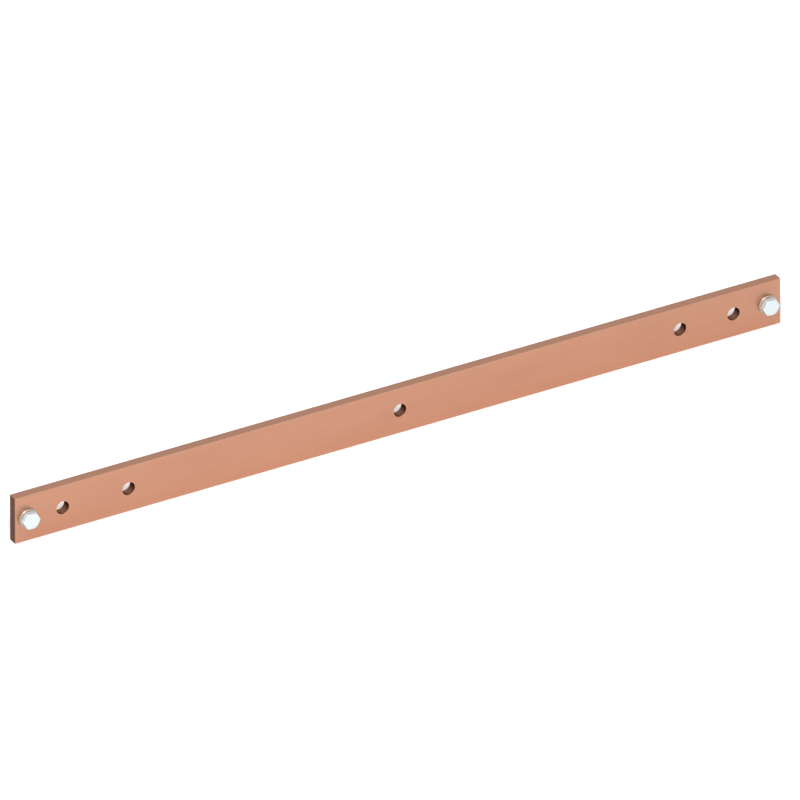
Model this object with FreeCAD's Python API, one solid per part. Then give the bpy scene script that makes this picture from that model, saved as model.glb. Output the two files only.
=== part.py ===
# Flat copper busbar with five connection holes, and a hexagon screw on a washer near each end.
# The bar stands on its long lower edge. X runs along the bar, Z across its width and Y through its
# thickness, with the front face towards -Y. The origin is the middle of the bar, in its centre hole.
import FreeCAD, Part
import math
import os

# Flat bar, in mm: drawn with eased corners, sawn to length and deburred
bar_length = 680.0
bar_width = 40.0
bar_thickness = 8.0
bar_corner_radius = 0.4
bar_end_chamfer = 0.2

# Holes on the centreline, all of one drill: five for the bolts of cable lugs and one for each screw
hole_diameter = 11.0
hole_deburr = 0.1
outer_hole_from_end = 42.0
left_inner_hole_from_end = 100.0
right_inner_hole_from_end = 90.0

# Fixing screws through the bar, one near each end, with an unthreaded neck under the head
screw_from_end = 11.5
thread_diameter = 8.0
screw_length = 20.0
screw_tip_chamfer = 0.9
neck_diameter = 7.2
neck_length = 2.5
head_across_flats = 13.0
head_height = 5.3
head_top_inset = 0.4
head_chamfer_degrees = 30.0
bearing_face_inset = 0.7
bearing_face_height = 0.4

# Plain washers between the heads and the bar, with a chamfer round the front edge
washer_diameter = 16.0
washer_thickness = 1.6
washer_chamfer = 0.4
washer_hole_clearance = 0.4

# Where the faces lie and the pieces seat
half_length = bar_length / 2
front_face_y = -bar_thickness / 2
back_face_y = bar_thickness / 2
head_seat_y = front_face_y - washer_thickness
screw_x = half_length - screw_from_end
cutter_overrun = 1.0

HEXAGON_SIDES = 6
FULL_TURN_DEGREES = 360
CENTRE = FreeCAD.Vector(0, 0, 0)
ALONG = FreeCAD.Vector(1, 0, 0)
THROUGH = FreeCAD.Vector(0, 1, 0)


def turned(outline):
    """Solid of revolution about the Y axis of a closed outline of (radius, y) points."""
    points = [FreeCAD.Vector(radius, y, 0) for radius, y in outline]
    profile = Part.Face(Part.makePolygon(points + points[:1]))
    return profile.revolve(CENTRE, THROUGH, FULL_TURN_DEGREES)


def edges_where(shape, is_wanted):
    """Edges of a shape whose bounding box passes a test."""
    return [edge for edge in shape.Edges if is_wanted(edge.BoundBox)]


def drilled_hole():
    """Cutter for one through hole, opened out at both faces where it is deburred."""
    radius = hole_diameter / 2
    mouth = radius + hole_deburr + cutter_overrun
    return turned([
        (0, front_face_y - cutter_overrun),
        (mouth, front_face_y - cutter_overrun),
        (radius, front_face_y + hole_deburr),
        (radius, back_face_y - hole_deburr),
        (mouth, back_face_y + cutter_overrun),
        (0, back_face_y + cutter_overrun),
    ])


def busbar():
    """The flat bar: rounded section, chamfered ends, and seven holes."""
    corner = FreeCAD.Vector(-half_length, front_face_y, -bar_width / 2)
    blank = Part.makeBox(bar_length, bar_thickness, bar_width, corner)
    long_edges = edges_where(blank, lambda box: box.XLength > box.YLength + box.ZLength)
    drawn = blank.makeFillet(bar_corner_radius, long_edges)
    end_edges = edges_where(drawn, lambda box: box.XLength < bar_end_chamfer)
    bar = drawn.makeChamfer(bar_end_chamfer, end_edges)

    holes_x = [
        -screw_x,
        outer_hole_from_end - half_length,
        left_inner_hole_from_end - half_length,
        0,
        half_length - right_inner_hole_from_end,
        half_length - outer_hole_from_end,
        screw_x,
    ]
    for x in holes_x:
        bar = bar.cut(drilled_hole().translated(ALONG * x))
    return bar


def hexagon_head():
    """Head with flats above and below, its front corners turned off to a cone."""
    flat_radius = head_across_flats / 2
    corner_radius = flat_radius / math.cos(math.pi / HEXAGON_SIDES)
    turns = [2 * math.pi * side / HEXAGON_SIDES for side in range(HEXAGON_SIDES)]
    under_y = head_seat_y - bearing_face_height
    top_y = head_seat_y - head_height
    corners = [
        FreeCAD.Vector(corner_radius * math.cos(turn), under_y, corner_radius * math.sin(turn))
        for turn in turns
    ]
    hexagon = Part.Face(Part.makePolygon(corners + corners[:1]))
    prism = hexagon.extrude(THROUGH * (top_y - under_y))

    top_radius = flat_radius - head_top_inset
    cone_drop = (corner_radius - top_radius) * math.tan(math.radians(head_chamfer_degrees))
    turned_blank = turned([
        (0, under_y),
        (corner_radius, under_y),
        (corner_radius, top_y + cone_drop),
        (top_radius, top_y),
        (0, top_y),
    ])
    return prism.common(turned_blank)


def screw():
    """Hexagon head, raised bearing face, neck, and threaded length with a chamfered tip."""
    thread_radius = thread_diameter / 2
    neck_radius = neck_diameter / 2
    bearing_radius = head_across_flats / 2 - bearing_face_inset
    under_y = head_seat_y - bearing_face_height
    thread_start_y = head_seat_y + neck_length
    tip_y = head_seat_y + screw_length
    shank = turned([
        (0, under_y),
        (bearing_radius, under_y),
        (bearing_radius, head_seat_y),
        (neck_radius, head_seat_y),
        (neck_radius, thread_start_y + neck_radius - thread_radius),
        (thread_radius, thread_start_y),
        (thread_radius, tip_y - screw_tip_chamfer),
        (thread_radius - screw_tip_chamfer, tip_y),
        (0, tip_y),
    ])
    return hexagon_head().fuse(shank).removeSplitter()


def washer():
    """Ring seated flat on the bar, chamfered round its front edge."""
    outer_radius = washer_diameter / 2
    inner_radius = (thread_diameter + washer_hole_clearance) / 2
    return turned([
        (inner_radius, front_face_y),
        (outer_radius, front_face_y),
        (outer_radius, head_seat_y + washer_chamfer),
        (outer_radius - washer_chamfer, head_seat_y),
        (inner_radius, head_seat_y),
    ])


def main():
    """Write one STEP file for each piece."""
    pieces = {"busbar": busbar()}
    for side, x in (("left", -screw_x), ("right", screw_x)):
        pieces[side + "_screw"] = screw().translated(ALONG * x)
        pieces[side + "_washer"] = washer().translated(ALONG * x)
    os.makedirs("parts", exist_ok=True)
    for node, shape in pieces.items():
        shape.exportStep("parts/" + node + ".step")


main()
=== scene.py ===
"""Looks of a flat copper busbar with a zinc-plated hexagon screw on a washer near each end.

Everything is in metres in the frame of the solids: X runs along the bar, Z across its width and
Y through its thickness, with the front face towards -Y and the origin in the centre hole.
"""

import logging
import math
from dataclasses import dataclass, field
from enum import Enum
from typing import Any

import bmesh
import bpy
import numpy as np
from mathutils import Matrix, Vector


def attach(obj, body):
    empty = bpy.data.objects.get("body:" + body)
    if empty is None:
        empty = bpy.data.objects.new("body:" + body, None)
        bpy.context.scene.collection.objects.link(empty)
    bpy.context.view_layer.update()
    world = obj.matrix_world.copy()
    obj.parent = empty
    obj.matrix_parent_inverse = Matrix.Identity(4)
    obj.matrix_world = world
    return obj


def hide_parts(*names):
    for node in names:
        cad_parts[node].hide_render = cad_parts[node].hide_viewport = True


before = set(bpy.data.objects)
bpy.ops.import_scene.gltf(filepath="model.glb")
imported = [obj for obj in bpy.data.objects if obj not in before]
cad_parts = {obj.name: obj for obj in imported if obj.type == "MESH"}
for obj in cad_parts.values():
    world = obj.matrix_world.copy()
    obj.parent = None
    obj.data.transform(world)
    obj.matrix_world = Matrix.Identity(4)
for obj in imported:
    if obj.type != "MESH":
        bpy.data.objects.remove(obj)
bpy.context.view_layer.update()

log = logging.getLogger("busbar")

Grid = np.ndarray

MM = 0.001
MERGE_DISTANCE = 1e-6
BODY = "root"
FULL_TURN = 2 * math.pi
HEXAGON_SIDES = 6

# Half of the angle that one side of a hexagon takes up round the axis.
HALF_SIDE = math.pi / HEXAGON_SIDES

# Largest share of a side that the rounding of one corner takes up.
CORNER_SHARE = 0.45

# Sockets of a Mix node that mixes colours.
MIX_SHARE, MIX_FIRST, MIX_SECOND, MIX_RESULT = 0, 6, 7, 2

# Spans of a noise texture's values that are put to use, for shades of colour and for grain.
SHADE_SPAN = {"From Min": 0.35, "From Max": 0.75, "To Min": 0.0}
GRAIN_SPAN = {"From Min": 0.3, "From Max": 0.7}


def linear_rgba(hex_code: str) -> tuple[float, ...]:
    """Turn an sRGB hex colour into linear light.

    A value v up to 0.04045 becomes v / 12.92, and a larger one becomes ((v + 0.055) / 1.055) to
    the power 2.4.

    Args:
        hex_code: Colour written as "#RRGGBB".

    Returns:
        Linear red, green and blue, then an alpha of 1.
    """
    srgb = np.array([int(hex_code[i:i + 2], 16) for i in (1, 3, 5)]) / 255
    linear = np.where(srgb <= 0.04045, srgb / 12.92, ((srgb + 0.055) / 1.055) ** 2.4)
    return (*linear.tolist(), 1.0)


def add_node(
    tree: bpy.types.NodeTree,
    kind: str,
    inputs: dict[str | int, Any] | None = None,
    **settings: Any,
) -> bpy.types.Node:
    """Add a node with its settings and links.

    Args:
        tree: Node tree that gets the node.
        kind: Type of the node, without the leading ShaderNode.
        inputs: For each input, by name or number, a value to set or an output socket to link.
        settings: Properties of the node itself.

    Returns:
        The new node.
    """
    node = tree.nodes.new("ShaderNode" + kind)
    for name, value in settings.items():
        setattr(node, name, value)
    for key, value in (inputs or {}).items():
        if isinstance(value, bpy.types.NodeSocket):
            tree.links.new(value, node.inputs[key])
        else:
            node.inputs[key].default_value = value
    return node


def around_axis(radius: Grid, depth: Grid, turn: Grid) -> Grid:
    """Place points round the Y axis: x = radius sin turn, y = depth, z = radius cos turn.

    Args:
        radius: Distance of each point from the axis.
        depth: Place of each point along the axis.
        turn: Angle of each point round the axis, from +Z towards +X.

    Returns:
        Grid of points with x, y and z in its last dimension.
    """
    radius, depth, turn = np.broadcast_arrays(radius, depth, turn)
    return np.stack([radius * np.sin(turn), depth, radius * np.cos(turn)], axis=-1)


def eased(profile: Grid, reach: float, steps: int = 5) -> Grid:
    """Round the corners of a profile.

    Each corner P becomes the curve (1-u)(1-u) S + 2u(1-u) P + u u E, where u runs from 0 to 1.
    S and E lie on the two sides that meet at P, at the reach from it, or at CORNER_SHARE of a
    shorter side.

    Args:
        profile: Corners in order along the first dimension, coordinates in the last.
        reach: How far from the corner the curve starts and ends.
        steps: Points on each curve.

    Returns:
        The profile with its two end points kept and each inner corner replaced by its curve.
    """
    before, corner, after = profile[:-2], profile[1:-1], profile[2:]
    length_in = np.linalg.norm(before - corner, axis=-1, keepdims=True)
    length_out = np.linalg.norm(after - corner, axis=-1, keepdims=True)
    start = corner + (before - corner) * np.minimum(reach / length_in, CORNER_SHARE)
    end = corner + (after - corner) * np.minimum(reach / length_out, CORNER_SHARE)
    u = np.linspace(0, 1, steps).reshape(-1, *[1] * corner[0].ndim)
    start, corner, end = start[:, None], corner[:, None], end[:, None]
    curves = (1 - u) ** 2 * start + 2 * u * (1 - u) * corner + u ** 2 * end
    inner = curves.reshape(-1, *profile.shape[1:])
    return np.concatenate([profile[:1], inner, profile[-1:]])


@dataclass
class Skin:
    """Grids of points that are gathered and closed into one mesh."""

    name: str
    points: list[Grid] = field(default_factory=list)
    quads: list[Grid] = field(default_factory=list)
    finishes: list[Grid] = field(default_factory=list)

    def add(self, grid: Grid, finish: int = 0) -> None:
        """Take in a grid of points, with a quad between each four neighbours.

        Args:
            grid: Points in rows and columns, with x, y and z in the last dimension.
            finish: Number of the material that these quads take.
        """
        rows, columns = grid.shape[:2]
        first = sum(len(block) for block in self.points)
        index = first + np.arange(rows * columns).reshape(rows, columns)
        corners = (index[:-1, :-1], index[:-1, 1:], index[1:, 1:], index[1:, :-1])
        quads = np.stack(corners, axis=-1).reshape(-1, 4)
        self.points.append(grid.reshape(-1, 3))
        self.quads.append(quads)
        self.finishes.append(np.full(len(quads), finish, dtype=np.int32))

    def vertices(self) -> Grid:
        """All points gathered so far, one row each."""
        return np.concatenate(self.points)

    def piece(
        self,
        materials: list[bpy.types.Material],
        sharp_degrees: float = 40.0,
        wear_and_painted_light: Grid | None = None,
    ) -> bpy.types.Object:
        """Make the object: put the arrays into a mesh, merge its seams and poles, and shade it.

        Args:
            materials: Finishes in the order of their numbers.
            sharp_degrees: Edges that turn more than this stay sharp.
            wear_and_painted_light: How much each point is lightened, from 0 to 1, by rubbing
                and by painted light.

        Returns:
            The object, at the origin and linked to the scene.
        """
        mesh = bpy.data.meshes.new(self.name)
        mesh.from_pydata(self.vertices(), [], np.concatenate(self.quads))
        mesh.polygons.foreach_set("material_index", np.concatenate(self.finishes))
        if wear_and_painted_light is not None:
            layer = mesh.attributes.new("wear_and_painted_light", "FLOAT", "POINT")
            layer.data.foreach_set("value", wear_and_painted_light.astype(np.float32))
        shell = bmesh.new()
        shell.from_mesh(mesh)
        bmesh.ops.remove_doubles(shell, verts=shell.verts, dist=MERGE_DISTANCE)
        bmesh.ops.recalc_face_normals(shell, faces=shell.faces)
        shell.to_mesh(mesh)
        shell.free()
        mesh.shade_smooth()
        mesh.set_sharp_from_angle(angle=math.radians(sharp_degrees))
        for material in materials:
            mesh.materials.append(material)
        piece = bpy.data.objects.new(self.name, mesh)
        bpy.context.scene.collection.objects.link(piece)
        return piece


class CopperSurface(Enum):
    """How each part of the bar's surface was made, numbered as the bar's materials are."""

    DRAWN = 0
    # Walls of the drilled holes, whose dark material is painted shade.
    DRILLED_PAINTED_SHADE = 1
    # Sawn ends, whose dark brown is painted shade.
    SAWN_PAINTED_SHADE = 2


@dataclass(frozen=True)
class BareCopper:
    """Bare electrical copper, semi-bright, with the marks that one way of working leaves.

    Drawing through a die leaves fine lines along the bar, a drill leaves rings round the hole, and
    a saw leaves dull lines across the end. Air darkens the metal in soft patches, and handling
    keeps the edges bright. The edge tint is the metal's colour at a grazing angle. The lighter
    colour at the edges also paints light on the lower walls of the holes, and the dark colours of
    the drilled and sawn finishes are painted shade.
    """

    surface: CopperSurface
    colour: str
    tarnish: str
    # Colour of the edges worn bright, and of the painted light on the lower walls of drilled holes.
    rubbed_and_lit: str
    roughness: float
    roughness_spread: float
    mark_size_mm: tuple[float, float, float]
    mark_depth_mm: float
    mark_shade: float
    tarnish_share: float
    edge_tint: str = "#FFFFFF"
    patch_size_mm: tuple[float, float, float] = (70.0, 18.0, 18.0)

    def material(self) -> bpy.types.Material:
        """Build the node material from Object coordinates and the wear_and_painted_light attribute.

        Returns:
            The material, with its marks, its patches of tarnish, its edges worn bright, and any
            painted light and shade in its colours.
        """
        material = bpy.data.materials.new("bare_copper_" + self.surface.name.lower())
        material.use_nodes = True
        tree = material.node_tree
        tree.nodes.clear()
        place = add_node(tree, "TexCoord").outputs["Object"]
        wear_and_painted_light = add_node(tree, "Attribute", attribute_name="wear_and_painted_light").outputs["Fac"]

        mark_scale = [1 / (size * MM) for size in self.mark_size_mm]
        mark_place = add_node(tree, "Mapping", {"Vector": place, "Scale": mark_scale}).outputs[0]
        marks = add_node(
            tree,
            "TexNoise",
            {"Vector": mark_place, "Scale": 1.0, "Detail": 3.0, "Roughness": 0.6},
        ).outputs[0]
        patch_scale = [1 / (size * MM) for size in self.patch_size_mm]
        patch_place = add_node(tree, "Mapping", {"Vector": place, "Scale": patch_scale}).outputs[0]
        patches = add_node(
            tree,
            "TexNoise",
            {"Vector": patch_place, "Scale": 1.0, "Detail": 4.0, "Roughness": 0.55},
        ).outputs[0]

        tarnished = add_node(
            tree, "MapRange", {"Value": patches, **SHADE_SPAN, "To Max": self.tarnish_share}
        )
        aged = add_node(
            tree,
            "Mix",
            {
                MIX_SHARE: tarnished.outputs[0],
                MIX_FIRST: linear_rgba(self.colour),
                MIX_SECOND: linear_rgba(self.tarnish),
            },
            data_type="RGBA",
        )
        shaded = add_node(
            tree, "MapRange", {"Value": marks, **SHADE_SPAN, "To Max": self.mark_shade}
        )
        marked = add_node(
            tree,
            "Mix",
            {
                MIX_SHARE: shaded.outputs[0],
                MIX_FIRST: aged.outputs[MIX_RESULT],
                MIX_SECOND: linear_rgba(self.tarnish),
            },
            data_type="RGBA",
        )
        rubbed_and_lit = add_node(
            tree,
            "Mix",
            {
                MIX_SHARE: wear_and_painted_light,
                MIX_FIRST: marked.outputs[MIX_RESULT],
                MIX_SECOND: linear_rgba(self.rubbed_and_lit),
            },
            data_type="RGBA",
        )

        low = self.roughness - self.roughness_spread
        high = self.roughness + self.roughness_spread
        grain = add_node(
            tree, "MapRange", {"Value": marks, **GRAIN_SPAN, "To Min": low, "To Max": high}
        )
        bump = add_node(
            tree, "Bump", {"Height": marks, "Strength": 1.0, "Distance": self.mark_depth_mm * MM}
        )
        shader = add_node(
            tree,
            "BsdfPrincipled",
            {
                "Base Color": rubbed_and_lit.outputs[MIX_RESULT],
                "Metallic": 1.0,
                "Specular Tint": linear_rgba(self.edge_tint),
                "Roughness": grain.outputs[0],
                "Normal": bump.outputs[0],
            },
        )
        add_node(tree, "OutputMaterial", {"Surface": shader.outputs[0]})
        return material


@dataclass(frozen=True)
class PlatedZinc:
    """Zinc electroplated on steel: a pale, faintly blue metal with a fine crystal mottle.

    The crystals scatter much of the light. So the metallic share is a half at most, and the flats
    stay pale where a mirror would show the copper behind them. They are too fine to see one by
    one, and the mottle is drawn 0.9 mm wide so that it shows.
    """

    bath: str
    colour: str
    shade: str
    roughness: float
    roughness_spread: float
    metallic: float
    mottle_mm: float = 0.9
    dimple_mm: float = 0.003

    def material(self) -> bpy.types.Material:
        """Build the node material, which reads Object coordinates.

        Returns:
            The material, with its mottle and its dimples.
        """
        material = bpy.data.materials.new("zinc_plate_" + self.bath)
        material.use_nodes = True
        tree = material.node_tree
        tree.nodes.clear()
        place = add_node(tree, "TexCoord").outputs["Object"]
        mottle = add_node(
            tree, "TexNoise", {"Vector": place, "Scale": 1 / (self.mottle_mm * MM), "Detail": 4.0}
        ).outputs[0]
        shaded = add_node(tree, "MapRange", {"Value": mottle, **SHADE_SPAN, "To Max": 1.0})
        tone = add_node(
            tree,
            "Mix",
            {
                MIX_SHARE: shaded.outputs[0],
                MIX_FIRST: linear_rgba(self.colour),
                MIX_SECOND: linear_rgba(self.shade),
            },
            data_type="RGBA",
        )
        low = self.roughness - self.roughness_spread
        high = self.roughness + self.roughness_spread
        satin = add_node(
            tree, "MapRange", {"Value": mottle, **GRAIN_SPAN, "To Min": low, "To Max": high}
        )
        bump = add_node(
            tree, "Bump", {"Height": mottle, "Strength": 1.0, "Distance": self.dimple_mm * MM}
        )
        shader = add_node(
            tree,
            "BsdfPrincipled",
            {
                "Base Color": tone.outputs[MIX_RESULT],
                "Metallic": self.metallic,
                "Roughness": satin.outputs[0],
                "Normal": bump.outputs[0],
            },
        )
        add_node(tree, "OutputMaterial", {"Surface": shader.outputs[0]})
        return material


# Drawn faces: warm and semi-bright, with a soft sheen along the lines of the die. The lines are
# about 0.1 mm apart in the real bar, and are drawn 0.9 mm apart so that they show.
DRAWN_COPPER = BareCopper(
    surface=CopperSurface.DRAWN,
    colour="#BA8971",
    tarnish="#AA7A64",
    rubbed_and_lit="#BF8E76",
    roughness=0.34,
    roughness_spread=0.05,
    mark_size_mm=(140.0, 0.9, 0.9),
    mark_depth_mm=0.004,
    mark_shade=0.18,
    tarnish_share=0.3,
)
# Drilled walls: dull, and painted dark brown with a dark edge tint, as painted shade inside the
# holes, with painted light on the lower walls that face up, and worn rims. The rings of the
# drill's feed are about 0.2 mm apart in the real bar, and are drawn 0.5 mm apart so that they
# show.
DRILLED_COPPER_PAINTED_SHADE = BareCopper(
    surface=CopperSurface.DRILLED_PAINTED_SHADE,
    colour="#553B2F",
    tarnish="#36261E",
    rubbed_and_lit="#A87A64",
    roughness=0.5,
    roughness_spread=0.06,
    mark_size_mm=(30.0, 0.5, 30.0),
    mark_depth_mm=0.01,
    mark_shade=0.5,
    tarnish_share=0.5,
    edge_tint="#5A3A2C",
)
# Sawn ends: matt, in a dark brown that is painted shade, as of an end turned from the light, with
# patches of tarnish. The lines of the blade run across the thickness. They are about 0.3 mm apart
# in the real bar, and are drawn 0.8 mm apart so that they show.
SAWN_COPPER_PAINTED_SHADE = BareCopper(
    surface=CopperSurface.SAWN_PAINTED_SHADE,
    colour="#63463A",
    tarnish="#4C352B",
    rubbed_and_lit="#835D4A",
    roughness=0.5,
    roughness_spread=0.06,
    mark_size_mm=(30.0, 14.0, 0.8),
    mark_depth_mm=0.02,
    mark_shade=0.6,
    tarnish_share=0.5,
    edge_tint="#E6DCD9",
)
# Screws: a bright bath leaves them smooth and almost white.
BRIGHT_ZINC = PlatedZinc(
    bath="bright",
    colour="#C8D3D7",
    shade="#BAC5CA",
    roughness=0.36,
    roughness_spread=0.04,
    metallic=0.4,
)
# Washers: satin, and greyer and warmer than the screws.
SATIN_ZINC = PlatedZinc(
    bath="satin",
    colour="#B3A699",
    shade="#9D9084",
    roughness=0.4,
    roughness_spread=0.05,
    metallic=0.5,
)


class BarEnd(Enum):
    """The two ends of the bar, by the sign of X."""

    LEFT = -1
    RIGHT = 1


@dataclass
class CopperBar:
    """The flat bar: a drawn section with rounded corners, sawn ends and seven drilled holes.

    Each hole sits in a patch of its own on either wide face, and plain strips lie between them.
    """

    length: float = 680 * MM
    width: float = 40 * MM
    thickness: float = 8 * MM
    corner_radius: float = 0.4 * MM
    corner_points: int = 7
    end_chamfer: float = 0.2 * MM
    end_shares: tuple[float, ...] = (0, 0.06, 0.3, 0.65, 1)
    hole_radius: float = 5.5 * MM
    hole_deburr: float = 0.1 * MM
    hole_ease: float = 0.05 * MM
    hole_rows: int = 25
    holes_x_mm: tuple[float, ...] = (-328.5, -298.0, -240.0, 0.0, 250.0, 298.0, 328.5)
    patch_half: float = 10 * MM
    patch_columns: int = 13
    patch_shares: tuple[float, ...] = (0, 0.02, 0.08, 0.2, 0.4, 0.65, 0.9, 0.985, 1)
    strip_step: float = 12 * MM
    face_rows: int = 23
    face_edge_step: float = 0.2 * MM
    face_edge_band: float = 1.6 * MM
    narrow_rows: int = 7
    wear_reach: float = 0.7 * MM
    rim_falloff: float = 2.0
    # How much painted light lightens the lower walls of the holes, which face up.
    lower_wall_light: float = 0.75

    def width_stations(self) -> Grid:
        """Places across the flat of a wide face, closer beside its rounded corners.

        Returns:
            Places along Z, in rising order.
        """
        edge = self.width / 2 - self.corner_radius
        beside, inner_end = edge - self.face_edge_step, edge - self.face_edge_band
        inner = np.linspace(-inner_end, inner_end, self.face_rows)
        return np.concatenate([[-edge, -beside], inner, [beside, edge]])

    def patch_stations(self) -> Grid:
        """Places along one hole's patch, from its middle."""
        return np.linspace(-self.patch_half, self.patch_half, self.patch_columns)

    def strips(self) -> list[Grid]:
        """Places along each plain strip between two patches, or between a patch and an end.

        Returns:
            Places along X for each strip, from the left.
        """
        end = self.length / 2 - self.end_chamfer
        centres = np.array(self.holes_x_mm) * MM
        starts = np.concatenate([[-end], centres + self.patch_half])
        stops = np.concatenate([centres - self.patch_half, [end]])
        counts = np.maximum(2, np.ceil((stops - starts) / self.strip_step).astype(int) + 1)
        return [np.linspace(*strip) for strip in zip(starts, stops, counts)]

    def all_stations(self) -> Grid:
        """Every place along the bar where the faces have points."""
        patches = [x * MM + self.patch_stations() for x in self.holes_x_mm]
        return np.unique(np.concatenate(self.strips() + patches).round(9))

    def section(self, radius: float) -> Grid:
        """Closed outline of the section: four flats, joined by arcs about four fixed centres.

        Args:
            radius: Radius of the arcs, smaller than the bar's own for an outline inside it.

        Returns:
            Points (y, z) in order, up from the foot of the front face and round to it again.
        """
        centre_y = self.thickness / 2 - self.corner_radius
        centre_z = self.width / 2 - self.corner_radius
        quarter = np.linspace(0, math.pi / 2, self.corner_points)
        across = self.width_stations()
        through = np.linspace(-centre_y, centre_y, self.narrow_rows)
        upper_front = [-centre_y - radius * np.cos(quarter), centre_z + radius * np.sin(quarter)]
        upper_back = [centre_y + radius * np.sin(quarter), centre_z + radius * np.cos(quarter)]
        half = np.concatenate(
            [
                np.stack([np.full_like(across, -centre_y - radius), across], axis=-1),
                np.stack(upper_front, axis=-1)[1:-1],
                np.stack([through, np.full_like(through, centre_z + radius)], axis=-1),
                np.stack(upper_back, axis=-1)[1:-1],
            ]
        )
        return np.concatenate([half, -half, half[:1]])

    def patch(self, centre_x: float, face_y: float) -> Grid:
        """Face round one hole: a circle blends into a rectangle, (1-s) circle + s rectangle.

        Args:
            centre_x: Place of the hole along the bar.
            face_y: Plane of the face.

        Returns:
            Grid with a row for each s and a column for each point round the rim.
        """
        along, across = self.patch_stations(), self.width_stations()
        half, edge = self.patch_half, across[-1]
        rectangle = np.concatenate(
            [
                np.stack([np.full_like(across, half), across], axis=-1)[:-1],
                np.stack([-along, np.full_like(along, edge)], axis=-1)[:-1],
                np.stack([np.full_like(across, -half), -across], axis=-1)[:-1],
                np.stack([along, np.full_like(along, -edge)], axis=-1),
            ]
        )
        turn = self.rim_turns()
        mouth = self.hole_radius + self.hole_deburr
        circle = mouth * np.stack([np.cos(turn), np.sin(turn)], axis=-1)
        share = np.array(self.patch_shares)[:, None, None]
        flat = (1 - share) * circle + share * rectangle
        x, z = flat[..., 0] + centre_x, flat[..., 1]
        return np.stack([x, np.full_like(x, face_y), z], axis=-1)

    def rim_turns(self) -> Grid:
        """Angles round a rim, in step with the points round the patch's rectangle.

        Returns:
            Angles from +X towards +Z, over one full turn.
        """
        upright, level = len(self.width_stations()) - 1, len(self.patch_stations()) - 1
        corner = math.atan2(self.width / 2, self.patch_half)
        right = np.linspace(-corner, corner, upright + 1)[:-1]
        top = np.linspace(corner, math.pi - corner, level + 1)[:-1]
        half = np.concatenate([right, top])
        return np.concatenate([half, half + math.pi, [half[0] + FULL_TURN]])

    def hole_wall(self, centre_x: float) -> Grid:
        """Wall of one hole: a straight bore with opened mouths, carried round the hole's axis.

        Args:
            centre_x: Place of the hole along the bar.

        Returns:
            Grid with a row for each depth and a column for each point round the rim.
        """
        bore, mouth = self.hole_radius, self.hole_radius + self.hole_deburr
        face = self.thickness / 2
        bore_end = face - self.hole_deburr
        corners = np.array([(mouth, -face), (bore, -bore_end), (bore, bore_end), (mouth, face)])
        front, back = np.split(eased(corners, self.hole_ease), 2)
        depths = np.linspace(-bore_end, bore_end, self.hole_rows)[1:-1]
        straight = np.stack([np.full_like(depths, bore), depths], axis=-1)
        profile = np.concatenate([front, straight, back])
        wall = around_axis(profile[:, :1], profile[:, 1:], math.pi / 2 - self.rim_turns())
        return wall + np.array([centre_x, 0, 0])

    def end_cap(self, bar_end: BarEnd) -> Grid:
        """One end: the section, drawn in over the chamfer, then closed onto the end's middle line.

        Args:
            bar_end: Which end it is.

        Returns:
            Grid with a row for each outline and a column for each point of the section.
        """
        side = bar_end.value
        outer = self.section(self.corner_radius)
        inner = self.section(self.corner_radius - self.end_chamfer)
        reach = (self.width - self.thickness) / 2
        middle = np.stack([np.zeros(len(inner)), np.clip(inner[:, 1], -reach, reach)], axis=-1)
        share = np.array(self.end_shares)[:, None, None]
        outlines = np.concatenate([outer[None], (1 - share) * inner + share * middle])
        x = np.full(outlines.shape[:2], side * self.length / 2)
        x[0] -= side * self.end_chamfer
        return np.concatenate([x[..., None], outlines], axis=-1)

    def wear_and_painted_light(self, points: Grid) -> Grid:
        """Rubbed edges: 1 on the nearest edge, and exp(-(d/reach)^2) at a distance d from it.

        It falls faster beside the rims of the holes. Painted light makes the lower walls of the
        holes a little lighter, by the square of how far down a point lies, as on walls that face
        up.

        Args:
            points: Points of the bar, one row each.

        Returns:
            Lightening of each point, by rubbing and by painted light, from 0 to 1.
        """
        x, y, z = np.abs(points).T
        to_end = self.length / 2 - x
        to_face = self.thickness / 2 - y
        to_edge = self.width / 2 - z
        centres = np.array(self.holes_x_mm) * MM
        from_axes = np.hypot(points[:, :1] - centres, points[:, 2:])
        to_rim = np.abs(from_axes - self.hole_radius).min(axis=1)
        gaps = [
            np.hypot(to_face, to_edge),
            np.hypot(to_end, to_face),
            np.hypot(to_end, to_edge),
            self.rim_falloff * np.hypot(to_rim, to_face),
        ]
        edges = np.exp(-(np.min(gaps, axis=0) / self.wear_reach) ** 2)
        down = np.clip(-points[:, 2] / self.hole_radius, 0, 1)
        # Painted light: the lower walls of the holes, which face up, are lightened.
        lit_lower_walls = self.lower_wall_light * down ** 2 * (to_rim < self.hole_deburr)
        return np.maximum(edges, lit_lower_walls)

    def build(self) -> bpy.types.Object:
        """Gather the faces, edges, holes and ends into one bar, and dress it.

        Returns:
            The bar, riding with the part and standing for its solid.
        """
        skin = Skin("copper_bar")
        across = self.width_stations()
        for face_y in (-self.thickness / 2, self.thickness / 2):
            for along in self.strips():
                x, z = np.meshgrid(along, across, indexing="ij")
                strip = np.stack([x, np.full_like(x, face_y), z], axis=-1)
                skin.add(strip, CopperSurface.DRAWN.value)
            for centre in self.holes_x_mm:
                skin.add(self.patch(centre * MM, face_y), CopperSurface.DRAWN.value)
        outline = self.section(self.corner_radius)
        upper = outline[len(across) - 1:len(outline) // 2 + 1]
        for edge in (upper, -upper):
            along = self.all_stations()[:, None]
            x, y, z = np.broadcast_arrays(along, edge[:, 0], edge[:, 1])
            skin.add(np.stack([x, y, z], axis=-1), CopperSurface.DRAWN.value)
        for centre in self.holes_x_mm:
            skin.add(self.hole_wall(centre * MM), CopperSurface.DRILLED_PAINTED_SHADE.value)
        for bar_end in BarEnd:
            skin.add(self.end_cap(bar_end), CopperSurface.SAWN_PAINTED_SHADE.value)

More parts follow.
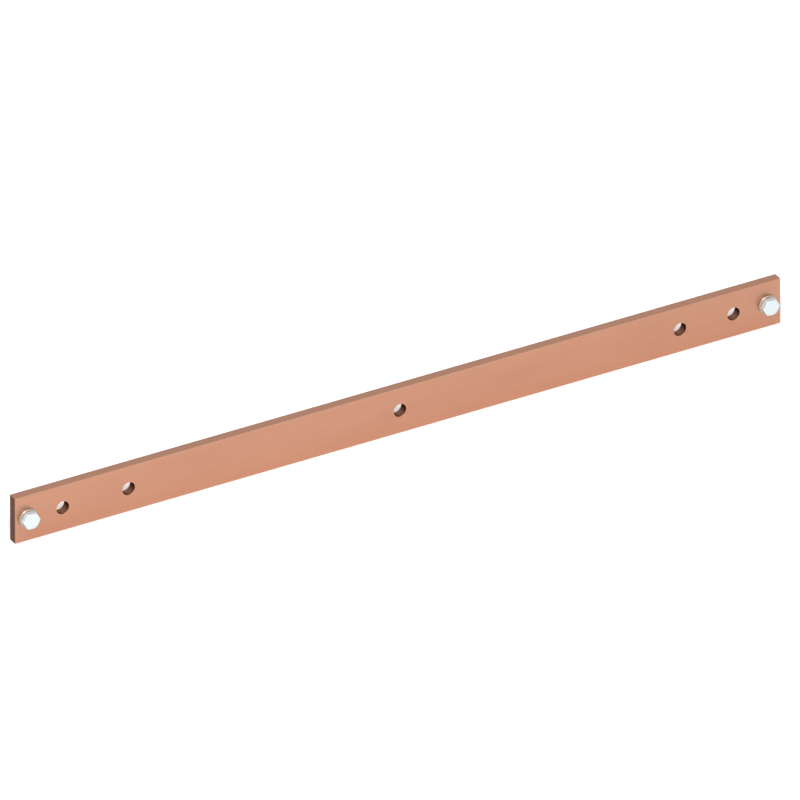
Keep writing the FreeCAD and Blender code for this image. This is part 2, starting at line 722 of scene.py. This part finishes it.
        finishes = [DRAWN_COPPER.material(), DRILLED_COPPER_PAINTED_SHADE.material(), SAWN_COPPER_PAINTED_SHADE.material()]
        piece = skin.piece(finishes, wear_and_painted_light=self.wear_and_painted_light(skin.vertices()))
        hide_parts("busbar")
        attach(piece, BODY)
        return piece


@dataclass
class ScrewAndWasher:
    """A hexagon screw through the bar, with a plain washer under its head.

    The thread's depth is a share of its pitch, as for any metric screw. Its ridge is given over
    one pitch, from the middle of one crest to the next, by places along the pitch and heights
    above the root.
    """

    bar_end: BarEnd
    from_middle: float = 328.5 * MM
    front_face: float = -4 * MM
    washer_diameter: float = 16 * MM
    washer_hole: float = 8.4 * MM
    washer_thickness: float = 1.6 * MM
    washer_chamfer: float = 0.4 * MM
    washer_ease: float = 0.15 * MM
    washer_columns: int = 97
    head_across_flats: float = 13 * MM
    head_height: float = 5.3 * MM
    head_top_inset: float = 0.4 * MM
    head_chamfer_degrees: float = 30.0
    head_edge_radius: float = 0.3 * MM
    head_ease: float = 0.2 * MM
    flat_columns: int = 11
    corner_columns: int = 6
    bearing_inset: float = 0.7 * MM
    bearing_height: float = 0.4 * MM
    neck_diameter: float = 7.2 * MM
    neck_length: float = 2.5 * MM
    thread_diameter: float = 8 * MM
    thread_pitch: float = 1.25 * MM
    thread_depth: float = 0.6134
    ridge_places: tuple[float, ...] = (
        0, 0.0625, 0.1, 0.24, 0.38, 0.43, 0.5, 0.57, 0.62, 0.76, 0.9, 0.9375
    )
    ridge_heights: tuple[float, ...] = (
        1, 1, 0.9, 0.5, 0.12, 0.03, 0, 0.03, 0.12, 0.5, 0.9, 1
    )
    screw_length: float = 20 * MM
    screw_sharp_degrees: float = 25.0
    tip_chamfer: float = 0.9 * MM

    @property
    def name(self) -> str:
        """Which end the pieces are at, as their names begin."""
        return self.bar_end.name.lower()

    @property
    def seat(self) -> float:
        """Plane where the head bears on the washer."""
        return self.front_face - self.washer_thickness

    @property
    def centre(self) -> Grid:
        """Point on the screw's axis at mid-thickness of the bar."""
        return np.array([self.bar_end.value * self.from_middle, 0, 0])

    @property
    def flat_end(self) -> float:
        """Angle from the middle of a flat to where the rounding of its corner starts."""
        half = self.head_across_flats / 2
        return math.atan((half - self.head_edge_radius) * math.tan(HALF_SIDE) / half)

    def head_turns(self) -> Grid:
        """Angles round the screw, closer together over the hexagon's rounded corners.

        Returns:
            Angles from +Z towards +X, over one full turn.
        """
        side, flat_end = 2 * HALF_SIDE, self.flat_end
        flat = np.linspace(-flat_end, flat_end, self.flat_columns)
        corner = np.linspace(flat_end, side - flat_end, self.corner_columns)[1:-1]
        sides = np.arange(HEXAGON_SIDES)[:, None] * side + np.concatenate([flat, corner])
        return np.append(sides.ravel(), sides[0, 0] + FULL_TURN)

    def hexagon(self, turn: Grid) -> Grid:
        """Radius of the hexagon with flats above and below.

        On a flat at half-width a it is a / cos(f), where f is the angle from the flat's middle.
        Round a corner it is the far side of a circle of the edge radius e, whose centre lies
        (a - e) / cos 30 from the axis.

        Args:
            turn: Angles round the screw.

        Returns:
            Radius at each angle.
        """
        half, edge = self.head_across_flats / 2, self.head_edge_radius
        from_flat = (turn + HALF_SIDE) % (2 * HALF_SIDE) - HALF_SIDE
        from_corner = HALF_SIDE - np.abs(from_flat)
        out = (half - edge) / math.cos(HALF_SIDE)
        aside = out * np.sin(from_corner)
        arc = out * np.cos(from_corner) + np.sqrt(np.maximum(edge ** 2 - aside ** 2, 0))
        return np.where(np.abs(from_flat) <= self.flat_end, half / np.cos(from_flat), arc)

    def head(self, turn: Grid) -> Grid:
        """Head and neck: a profile that follows the hexagon's radius, carried round the axis.

        From the middle of the front face it runs out to the chamfer's cone, down the cone to the
        hexagon, along the flats, under the head, over the bearing face and down the neck.

        Args:
            turn: Angles round the screw.

        Returns:
            Grid with a row for each point of the profile and a column for each angle.
        """
        hexagon = self.hexagon(turn)
        top, under = self.seat - self.head_height, self.seat - self.bearing_height
        top_radius = self.head_across_flats / 2 - self.head_top_inset
        slope = math.tan(math.radians(self.head_chamfer_degrees))
        bearing = self.head_across_flats / 2 - self.bearing_inset
        neck, neck_end = self.neck_diameter / 2, self.seat + self.neck_length
        corners = [
            (0, top),
            (top_radius, top),
            (hexagon, top + (hexagon - top_radius) * slope),
            (hexagon, under),
            (bearing, under),
            (bearing, self.seat),
            (neck, self.seat),
            (neck, neck_end),
        ]
        rings = [np.stack(np.broadcast_arrays(r, y, turn)[:2], axis=-1) for r, y in corners]
        profile = eased(np.stack(rings), self.head_ease)
        return around_axis(profile[..., 0], profile[..., 1], turn)

    def thread(self, turn: Grid) -> Grid:
        """Threaded length: a ridge on a right-hand helix, y = start + pitch (k + v + turn / 2 pi).

        Here k counts the windings and v runs over one pitch. The ridge is a crest an eighth of the
        pitch wide, two flanks at 30 degrees and a rounded root. It rises out of the neck over one
        pitch, as r r (3 - 2 r), and a 45 degree cone cuts it off at the tip. Points past either
        end lie on that end.

        Args:
            turn: Angles round the screw.

        Returns:
            Grid with a row for each point across each winding and a column for each angle.
        """
        crest, neck = self.thread_diameter / 2, self.neck_diameter / 2
        root = crest - self.thread_depth * self.thread_pitch
        start, tip = self.seat + self.neck_length, self.seat + self.screw_length
        windings = np.arange(-1, math.ceil((tip - start) / self.thread_pitch) + 2)
        place = (windings[:, None] + np.array(self.ridge_places)).ravel()
        depth = start + self.thread_pitch * (place[:, None] + turn / FULL_TURN)
        depth = np.clip(depth, start, tip)
        heights = root + (crest - root) * np.array(self.ridge_heights)
        ridge = np.tile(heights, len(windings))[:, None]
        rise = np.clip((depth - start) / self.thread_pitch, 0, 1)
        rise = rise * rise * (3 - 2 * rise)
        radius = neck + (ridge - neck) * rise
        cone = crest - self.tip_chamfer + (tip - depth)
        return around_axis(np.minimum(radius, cone), depth, turn)

    def screw(self) -> bpy.types.Object:
        """Gather the head, thread and tip into one screw, and dress it.

        Returns:
            The screw, riding with the part and standing for its solid.
        """
        turn = self.head_turns()
        tip, tip_radius = self.seat + self.screw_length, self.thread_diameter / 2 - self.tip_chamfer
        tip_rings = np.array([[tip_radius], [tip_radius / 2], [0]])
        skin = Skin(self.name + "_hexagon_screw")
        skin.add(self.head(turn) + self.centre)
        skin.add(self.thread(turn) + self.centre)
        skin.add(around_axis(tip_rings, tip, turn) + self.centre)
        piece = skin.piece([BRIGHT_ZINC.material()], self.screw_sharp_degrees)
        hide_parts(self.name + "_screw")
        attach(piece, BODY)
        return piece

    def washer(self) -> bpy.types.Object:
        """Make the washer: a ring's closed profile, eased at its corners, carried round the axis.

        Returns:
            The washer, riding with the part and standing for its solid.
        """
        inner, outer = self.washer_hole / 2, self.washer_diameter / 2
        middle = (inner + outer) / 2
        corners = [
            (middle, self.front_face),
            (inner, self.front_face),
            (inner, self.seat),
            (outer - self.washer_chamfer, self.seat),
            (outer, self.seat + self.washer_chamfer),
            (outer, self.front_face),
            (middle, self.front_face),
        ]
        profile = eased(np.array(corners), self.washer_ease)
        turn = np.linspace(0, FULL_TURN, self.washer_columns)
        skin = Skin(self.name + "_plain_washer")
        skin.add(around_axis(profile[:, :1], profile[:, 1:], turn) + self.centre)
        piece = skin.piece([SATIN_ZINC.material()])
        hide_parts(self.name + "_washer")
        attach(piece, BODY)
        return piece


@dataclass
class Studio:
    """Plain white floor, soft light, and a camera with a very long lens, on the left and above.

    The sky's brightness goes from the horizon's to the top's over a span of a direction's upward
    share, and light is added on the left over a span of its share along X.
    """

    floor_height: float = -20 * MM
    floor_drop: float = 0.02 * MM
    floor_reach: float = 8.0
    floor_colour: str = "#F7F7F7"
    floor_roughness: float = 0.9
    sky_colour: str = "#FFFFFF"
    sky_top: float = 0.72
    sky_horizon: float = 0.87
    sky_up_span: tuple[float, float] = (0.55, 0.9)
    sky_left: float = 0.5
    sky_left_span: tuple[float, float] = (-0.2, -1.0)
    key_watts: float = 226.0
    key_size: float = 1.12
    key_place: tuple[float, float, float] = (-1.75, -3.03, 3.75)
    azimuth_degrees: float = -30.0
    elevation_degrees: float = 30.0
    lens_mm: float = 1400.0
    sensor_mm: float = 36.0
    clip_near: float = 1.0
    clip_far: float = 100.0
    frame_width: float = 615.6 * MM
    aim_depth: float = -4 * MM
    aim_up: float = 8.0 * MM

    def floor(self) -> None:
        """Lay the floor as one large flat sheet, just under the bar."""
        reach = np.array([-self.floor_reach, self.floor_reach])
        x, y = np.meshgrid(reach, reach, indexing="ij")
        skin = Skin("floor")
        skin.add(np.stack([x, y, np.full_like(x, self.floor_height - self.floor_drop)], axis=-1))
        # Uncoated paper: an even, matt white without any gloss.
        material = bpy.data.materials.new("white_studio_paper")
        material.use_nodes = True
        shader = material.node_tree.nodes["Principled BSDF"]
        shader.inputs["Base Color"].default_value = linear_rgba(self.floor_colour)
        shader.inputs["Roughness"].default_value = self.floor_roughness
        shader.inputs["Specular IOR Level"].default_value = 0.0
        skin.piece([material])

    def light(self) -> None:
        """Hang one soft light high on the camera's side, so that the bar hides its own shadow.

        The sky is a little darker overhead, which greys the floor that shows through the holes,
        and brighter on the left, where the flats of the heads face.
        """
        lamp = bpy.data.lights.new("soft_key", "AREA")
        lamp.energy = self.key_watts
        lamp.size = self.key_size
        key = bpy.data.objects.new("soft_key", lamp)
        key.location = self.key_place
        key.rotation_euler = Vector(self.key_place).to_track_quat("Z", "Y").to_euler()
        bpy.context.scene.collection.objects.link(key)

        world = bpy.data.worlds.new("studio_sky")
        world.use_nodes = True
        tree = world.node_tree
        tree.nodes.clear()
        way = add_node(tree, "TexCoord").outputs["Generated"]
        place = add_node(tree, "SeparateXYZ", {"Vector": way})
        upper = add_node(
            tree,
            "MapRange",
            {
                "Value": place.outputs["Z"],
                "From Min": self.sky_up_span[0],
                "From Max": self.sky_up_span[1],
                "To Min": self.sky_horizon,
                "To Max": self.sky_top,
            },
        )
        left = add_node(
            tree,
            "MapRange",
            {
                "Value": place.outputs["X"],
                "From Min": self.sky_left_span[0],
                "From Max": self.sky_left_span[1],
                "To Min": 0.0,
                "To Max": self.sky_left,
            },
        )
        strength = add_node(
            tree, "Math", {0: upper.outputs[0], 1: left.outputs[0]}, operation="ADD"
        )
        sky = add_node(
            tree,
            "Background",
            {"Color": linear_rgba(self.sky_colour), "Strength": strength.outputs[0]},
        )
        add_node(tree, "OutputWorld", {"Surface": sky.outputs[0]})
        bpy.context.scene.world = world
        bpy.context.scene.view_settings.view_transform = "Standard"

    def camera(self) -> None:
        """Place the camera and aim it just above the bar's middle.

        It stands so far back that the bar's edges stay almost parallel.
        """
        azimuth = math.radians(self.azimuth_degrees)
        elevation = math.radians(self.elevation_degrees)
        back = Vector(
            (
                math.sin(azimuth) * math.cos(elevation),
                -math.cos(azimuth) * math.cos(elevation),
                math.sin(elevation),
            )
        )
        turn = back.to_track_quat("Z", "Y")
        aim = Vector((0, self.aim_depth, 0)) + turn @ Vector((0, self.aim_up, 0))
        lens = bpy.data.cameras.new("camera")
        lens.sensor_width = self.sensor_mm
        lens.lens = self.lens_mm
        lens.clip_start = self.clip_near
        lens.clip_end = self.clip_far
        camera = bpy.data.objects.new("camera", lens)
        camera.location = aim + back * (self.frame_width * self.lens_mm / self.sensor_mm)
        camera.rotation_euler = turn.to_euler()
        bpy.context.scene.collection.objects.link(camera)
        bpy.context.scene.camera = camera

    def build(self) -> None:
        """Set up the floor, the light and the camera."""
        self.floor()
        self.light()
        self.camera()


def main() -> None:
    """Build each piece in order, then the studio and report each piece."""
    logging.basicConfig(level=logging.INFO, format="%(name)s: %(message)s")
    pieces = [CopperBar().build()]
    for bar_end in BarEnd:
        set_at_end = ScrewAndWasher(bar_end)
        pieces += [set_at_end.screw(), set_at_end.washer()]
    Studio().build()
    for piece in pieces:
        log.info("%s, %d faces", piece.name, len(piece.data.polygons))


if __name__ == "__main__":
    main()
